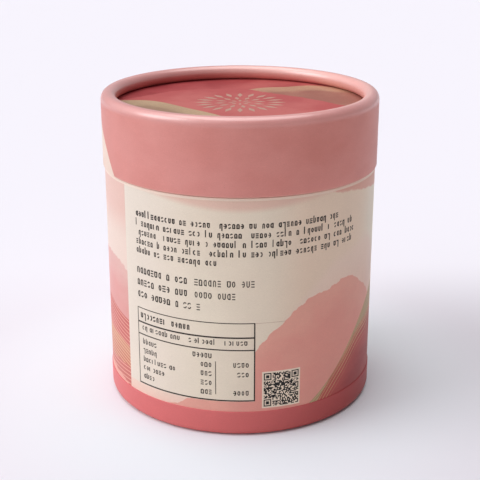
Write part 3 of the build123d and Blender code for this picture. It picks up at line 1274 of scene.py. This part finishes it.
@dataclass(frozen=True)
class BentStrips:
    """Thin strips of print bent round a wall of a radius, each a closed shell."""

    radius: float
    thickness: float
    bite: float = 0.01 * MM
    cut: float = 0.8

    def mesh(self, name: str, strips: Iterable[Strip]) -> bpy.types.Mesh:
        """Return a mesh of strips.

        Args:
            name: The mesh's name.
            strips: Two arcs from the front and two heights for each, in millimetres.

        Returns:
            The mesh.
        """
        vertices: list[Spot] = []
        faces: list[tuple[int, ...]] = []
        for left, right, low, high in strips:
            cuts = max(1, math.ceil((right - left) / self.cut))
            first, last = len(vertices), len(vertices) + 4 * cuts
            for step in range(cuts + 1):
                angle = (left + (right - left) * step / cuts) * MM / self.radius
                for reach, height in self._section(low * MM, high * MM):
                    vertices.append((reach * math.sin(angle), -reach * math.cos(angle), height))
            for base in range(first, last, 4):
                for corner, after in ((0, 1), (1, 2), (2, 3), (3, 0)):
                    faces.append((base + corner, base + 4 + corner, base + 4 + after, base + after))
            faces += [(first, first + 1, first + 2, first + 3), (last + 3, last + 2, last + 1, last)]
        made = bpy.data.meshes.new(name)
        made.from_pydata(vertices, [], faces)
        return made

    def _section(self, low: float, high: float) -> list[Point]:
        """Return the four corners of a strip's section, as radius and height."""
        inner, outer = self.radius - self.bite, self.radius + self.thickness
        return [(inner, low), (inner, high), (outer, high), (outer, low)]


@dataclass
class Label:
    """The panel's print, laid out in millimetres: rows of marks, a ruled table and a square of cells."""

    thickness: float = 0.03 * MM
    seed: int = 11
    indent: float = 0.36
    rules: tuple[Strip, ...] = (
        (-30.85, 3.85, 32.74, 32.96), (-30.85, 3.85, 10.27, 10.63), (-30.96, -30.74, 10.27, 32.96),
        (3.68, 4.02, 10.27, 32.96), (-30.85, 3.85, 28.55, 28.95), (-30.85, 3.85, 25.05, 25.35),
        (-6.6, -6.42, 12.2, 21.8),
    )
    code: Point = (6.35, 18.3)
    code_side: float = 9.8
    code_columns: int = 33
    code_corner: int = 7
    code_margin: float = 0.45
    code_seed: int = 5
    ground_share: float = 0.5
    gap_share: float = 0.38
    radius: float = field(init=False)

    def __post_init__(self) -> None:
        """Read the wall's radius from the frame."""
        self.radius = extent("body_wrap").reach

    def build(self) -> None:
        """Print the whole panel."""
        self._small_print()
        rules = BentStrips(self.radius, self.thickness).mesh("rules", self.rules)
        place(merged("label_table_rules", rules), Body.BOX, INK)
        self._code()

    @staticmethod
    def _rows() -> Iterable[tuple[Marks, float, float, float]]:
        """Give each row's marks, left end, middle height and length: paragraph, headings and table."""
        bold = Marks(1.38, 1.12, 0.35, reach=0.45, kinds=ALL_KINDS)
        body = Marks(1.34, 1.08, 0.31, 7.0, 0.45, ALL_KINDS)
        caps, caps_bold = Marks(1.74, 1.24, 0.27, 8.0), Marks(1.74, 1.3, 0.34, 8.0)
        title, value = Marks(1.5, 1.16, 0.35, reach=0.45, kinds=ALL_KINDS), Marks(1.4, 1.1, 0.26)
        word = Marks(1.24, 1.05, 0.26, reach=0.3, kinds=ALL_KINDS)
        yield from ((bold, -30.4, 59.5, 13.4), (body, -16.0, 59.5, 44.0))
        for top, length in ((56.95, 65.0), (54.4, 66.2), (51.85, 64.5), (49.34, 24.6)):
            yield body, -30.6, top, length
        facts = ((43.8, 17.0, -12.0, 15.8), (40.35, 17.0, -12.0, 12.6), (36.9, 13.8, -15.2, 4.8))
        for top, length, start, rest in facts:
            yield from ((caps_bold, -30.6, top, length), (caps, start, top, rest))
        yield from ((title, -29.7, 30.8, 9.6), (title, -19.0, 30.8, 5.4))
        heads = ((-29.2, 2.2), (-26.4, 6.3), (-19.4, 3.2), (-13.9, 1.1), (-12.3, 6.4), (-4.1, 6.7))
        yield from ((word, start, 27.2, length) for start, length in heads)
        for top, length in ((23.1, 5.3), (20.5, 5.5), (17.9, 8.4), (15.4, 2.8), (12.8, 4.2)):
            yield word, -29.1, top, length
        yield from ((word, -19.9, 17.9, 2.2), (word, -25.6, 15.4, 3.7))
        middle, right = -7.3, 2.6
        for top, length in ((23.3, 5.5), (20.7, 3.3), (18.1, 3.3), (15.4, 3.3), (12.7, 3.3)):
            yield value, middle - length, top, length
        for top, length in ((20.9, 4.4), (18.1, 3.3), (12.7, 4.4)):
            yield value, right - length, top, length

    def _small_print(self) -> None:
        """Print every row of marks."""
        tree = SmallPrint()
        meshes = [
            tree.grow(INK, {
                "Start": (start + marks.pitch * self.indent) * MM, "Top": top * MM, "Pitch": marks.pitch * MM,
                "Height": marks.height * MM, "Stroke": marks.stroke * MM, "Word": marks.word,
                "Reach": marks.reach, "Radius": self.radius, "Thickness": self.thickness,
                "Columns": max(1, round(length / marks.pitch)), "Kinds": marks.kinds, "Seed": self.seed + row,
            })
            for row, (marks, start, top, length) in enumerate(self._rows())
        ]
        place(merged("label_small_print", *meshes), Body.BOX, INK)

    def _code(self) -> None:
        """Print the square of cells on its pale ground."""
        (left, top), side, margin = self.code, self.code_side, self.code_margin
        ground = (left - margin, left + side + margin, top - side - margin, top + margin)
        mesh = BentStrips(self.radius, self.thickness * self.ground_share).mesh("ground", [ground])
        place(merged("label_code_ground", mesh), Body.BOX, GROUND)
        cell = side / self.code_columns
        cells = CodeCells(self.code_corner).grow(INK_BLACK, {
            "Start": left * MM, "Top": top * MM, "Cell": cell * MM, "Gap Share": self.gap_share,
            "Radius": self.radius, "Thickness": self.thickness, "Columns": self.code_columns,
            "Seed": self.code_seed,
        })
        wide = self.code_corner * cell
        corners = ((left, top), (left + side - wide, top), (left, top - side + wide))
        strips = [strip for corner in corners for strip in self._marker(*corner, wide, cell)]
        markers = BentStrips(self.radius, self.thickness).mesh("code_markers", strips)
        place(merged("label_code_cells", cells, markers), Body.BOX, INK_BLACK)

    @staticmethod
    def _marker(left: float, high: float, wide: float, cell: float) -> list[Strip]:
        """Return the strips of one plain corner: a square ring round a square."""
        right, low = left + wide, high - wide
        return [
            (left, right, high - cell, high), (left, right, low, low + cell),
            (left, left + cell, low + cell, high - cell), (right - cell, right, low + cell, high - cell),
            (left + 2 * cell, right - 2 * cell, low + 2 * cell, high - 2 * cell),
        ]


@dataclass
class FoilWork:
    """The stamped foil: lines along two ribbons of the body, and a rosette on the lid's disc."""

    thickness: float = 0.025 * MM
    lowest: float = 7.5 * MM
    cuts: int = 260
    first_degree: int = -10
    last_degree: int = 200
    tries_per_degree: int = 4
    edges: tuple[tuple[str, Swell, int, float, float, float], ...] = (
        ("foil_rose_edge", ART.rose_ribbon, 3, 0.3 * MM, 0.95 * MM, 0.3 * MM),
        ("foil_gold_edge", ART.gold_ribbon, 1, 0.1 * MM, 1.0 * MM, 0.34 * MM),
    )
    rings: tuple[tuple[float, ...], ...] = (
        (10.2, 5.2, 1.5, 0.0, 20), (5.6, 3.4, 1.25, 9.0, 12), (2.3, 2.2, 0.9, 0.0, 8),
    )

    def build(self) -> None:
        """Stamp every line and the rosette."""
        for edge in self.edges:
            self._edge(*edge)
        self._rosette()

    def _edge(self, name: str, ribbon: Swell, lines: int, inset: float, pitch: float, width: float) -> None:
        """Stamp lines along one ribbon's edge, where they clear the foot ring.

        Args:
            name: The piece's name.
            ribbon: The ribbon that they follow.
            lines: How many there are.
            inset: How far below the edge the first one is, in metres.
            pitch: How far each is below the one before, in metres.
            width: How wide each is, in metres.
        """
        drop = inset + (lines - 1) * pitch + width
        tries = self.tries_per_degree
        steps = range(self.first_degree * tries, self.last_degree * tries)
        angles = (math.radians(step / tries) for step in steps)
        clear = [angle for angle in angles if ribbon.height_at(angle) - drop > self.lowest]
        mesh = FoilEdge(ribbon).grow(GOLD_FOIL, {
            "Start": clear[0], "End": clear[-1], "Inset": inset, "Line Pitch": pitch, "Line Width": width,
            "Radius": extent("body_wrap").reach, "Thickness": self.thickness, "Lines": lines,
            "Cuts": self.cuts,
        })
        place(merged(name, mesh), Body.BOX, GOLD_FOIL)

    def _rosette(self) -> None:
        """Stamp the disc's rosette: three rings of lozenges."""
        tree, face = Rosette(), extent("lid_print").high
        meshes = [
            tree.grow(TAUPE_FOIL, {
                "Ring": ring * MM, "Length": length * MM, "Width": width * MM, "Thickness": self.thickness,
                "Height": face, "Turn": math.radians(turn), "Count": count,
            })
            for ring, length, width, turn, count in self.rings
        ]
        place(merged("foil_rosette", *meshes), Body.LID, TAUPE_FOIL)


class Studio:
    """A pale floor, soft lights and the camera that took the picture."""

    lens, sensor, pitch = 79.96, 36.0, 19.09
    camera_at = (0.0, -0.2928, 0.1441)
    floor_half = 3.0
    # Painted shade: the floor is darker towards the front and the front right; near the tube a painted bluish
    # tint cancels the pink light the tube throws on it.
    floor_matt, floor_near = Tone(232, 220, 214), Tone(239, 245, 254)
    floor_back, floor_front, floor_right = Tone(241, 238, 248), Tone(233, 230, 240), Tone(223, 220, 230)
    front_fade, right_fade, near_fade = (0.1, 0.02), (0.01, 0.075), (-0.09, -0.038)
    sky_light, sky_seen = (1.0, 0.975, 0.945, 1.0), Tone(249, 246, 254)
    sky_level, sky_slope, sky_gloss, floor_gloss = 0.215, 0.07, 0.4, 1.0
    suns = (
        ("key_window", -78.0, 37.0, 40.0, 0.32, (0.98, 0.995, 1.0)),
        ("wide_window", -84.0, 36.0, 100.0, 0.36, (0.98, 0.995, 1.0)),
        ("top_softbox", 180.0, 81.0, 58.0, 0.46, (1.0, 0.99, 0.975)),
    )

    def build(self) -> None:
        """Make the whole set."""
        self._camera()
        self._world()
        self._floor()
        for sun in self.suns:
            self._sun(*sun)
        bpy.context.scene.view_settings.view_transform = "Standard"

    def _camera(self) -> None:
        """Place the camera."""
        data = bpy.data.cameras.new("camera")
        data.lens, data.sensor_width = self.lens, self.sensor
        camera = linked("camera", data)
        camera.location = self.camera_at
        camera.rotation_euler = (math.radians(90.0 - self.pitch), 0.0, 0.0)
        bpy.context.scene.camera = camera

    @staticmethod
    def _end(graph: Graph, kind: str, real: Term, shown: Term, gloss: float) -> None:
        """End a tree that lights the tube one way, and looks another way to the camera.

        Args:
            graph: The tree.
            kind: Blender's name for the type of its last node.
            real: The shader that lights the tube.
            shown: The shader that the camera sees.
            gloss: How much of it gloss shows too.
        """
        ray = graph.node("ShaderNodeLightPath")
        seen = graph.term(ray, "Is Camera Ray").higher(graph.term(ray, "Is Glossy Ray") * gloss)
        both = graph.out("ShaderNodeMixShader", 0, {}, {0: seen, 1: real, 2: shown})
        graph.node(kind, {}, {"Surface": both})

    def _world(self) -> None:
        """Light everything evenly with a pale sky."""
        world = bpy.data.worlds.new("pale_room")
        world.use_nodes = True
        graph = Graph(world.node_tree)
        across = graph.split(graph.out("ShaderNodeTexCoord", "Generated"))[0]
        level = self.sky_level - across * self.sky_slope
        soft = graph.out("ShaderNodeBackground", Color=self.sky_light, Strength=level)
        shown = graph.out("ShaderNodeBackground", Color=self.sky_seen.linear(), Strength=1.0)
        self._end(graph, "ShaderNodeOutputWorld", soft, shown, self.sky_gloss)
        bpy.context.scene.world = world

    def _floor(self) -> None:
        """Lay a pale floor that keeps the shadow and otherwise shows as the backdrop does, with painted shade
        towards the front and the front right, and a painted bluish tint near the tube that cancels the pink
        light the tube throws on the floor.
        """
        half, mesh = self.floor_half, bpy.data.meshes.new("floor")
        corners = [(x * half, y * half, 0) for x, y in ((-1, -1), (1, -1), (1, 1), (-1, 1))]
        mesh.from_pydata(corners, [], [(0, 1, 2, 3)])
        material = bpy.data.materials.new("pale_floor")
        material.use_nodes = True
        graph = Graph(material.node_tree)
        places = Places.of(graph)
        x, y = places.x, places.y
        # Painted shade towards the front and the front right, and a painted tint near the tube.
        front = y.faded(*self.front_fade)
        far = graph.mix(front, self.floor_back, self.floor_front)
        far = graph.mix(front * x.faded(*self.right_fade), far, self.floor_right)
        tone = graph.mix((-(x * x + y * y).root()).faded(*self.near_fade), far, self.floor_near)
        # The colour that light bouncing off the floor takes: warmer and darker than the floor looks, which
        # warms and dims the fill on the tube.
        matt = graph.out("ShaderNodeBsdfDiffuse", Color=self.floor_matt.linear())
        shown = graph.out("ShaderNodeBsdfDiffuse", Color=tone)
        self._end(graph, "ShaderNodeOutputMaterial", matt, shown, self.floor_gloss)
        mesh.materials.append(material)
        linked("floor", mesh)

    @staticmethod
    def _sun(name: str, azimuth: float, elevation: float, spread: float, level: float, colour: Spot) -> None:
        """Hang a far, wide and soft light.

        Args:
            name: The lamp's name.
            azimuth: Degrees from the front to the right that it comes from.
            elevation: Degrees above the floor that it comes from.
            spread: How wide it looks from the tube, in degrees.
            level: How bright a white sheet that faces it gets, where 1 is white.
            colour: Its colour.
        """
        data = bpy.data.lights.new(name, "SUN")
        data.energy, data.angle, data.color = level * math.pi, math.radians(spread), colour
        around, up = math.radians(azimuth), math.radians(elevation)
        way = Vector((math.sin(around) * math.cos(up), -math.cos(around) * math.cos(up), math.sin(up)))
        lamp = linked(name, data)
        lamp.location = way
        lamp.rotation_euler = (-way).to_track_quat("-Z", "Y").to_euler()


def dress_boards(frame: Mapping[str, Mapping[str, bpy.types.Object]]) -> None:
    """Give the boards that stay as CAD nodes their raw finish."""
    for name in ("body_tube", "neck_tube", "lid_tube", "lid_disc", "base_disc"):
        node = frame["nodes"][name]
        node.data.materials.clear()
        node.data.materials.append(RAW_BOARD.material())
        LOG.info("%s keeps its shape and gets raw board", name)


def main() -> None:
    """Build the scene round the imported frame."""
    logging.basicConfig(level=logging.INFO, format="%(message)s")
    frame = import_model()
    dress_boards(frame)
    for maker in (BoxBody, Label, FoilWork, LidBody, Studio):
        maker().build()


if __name__ == "__main__":
    main()
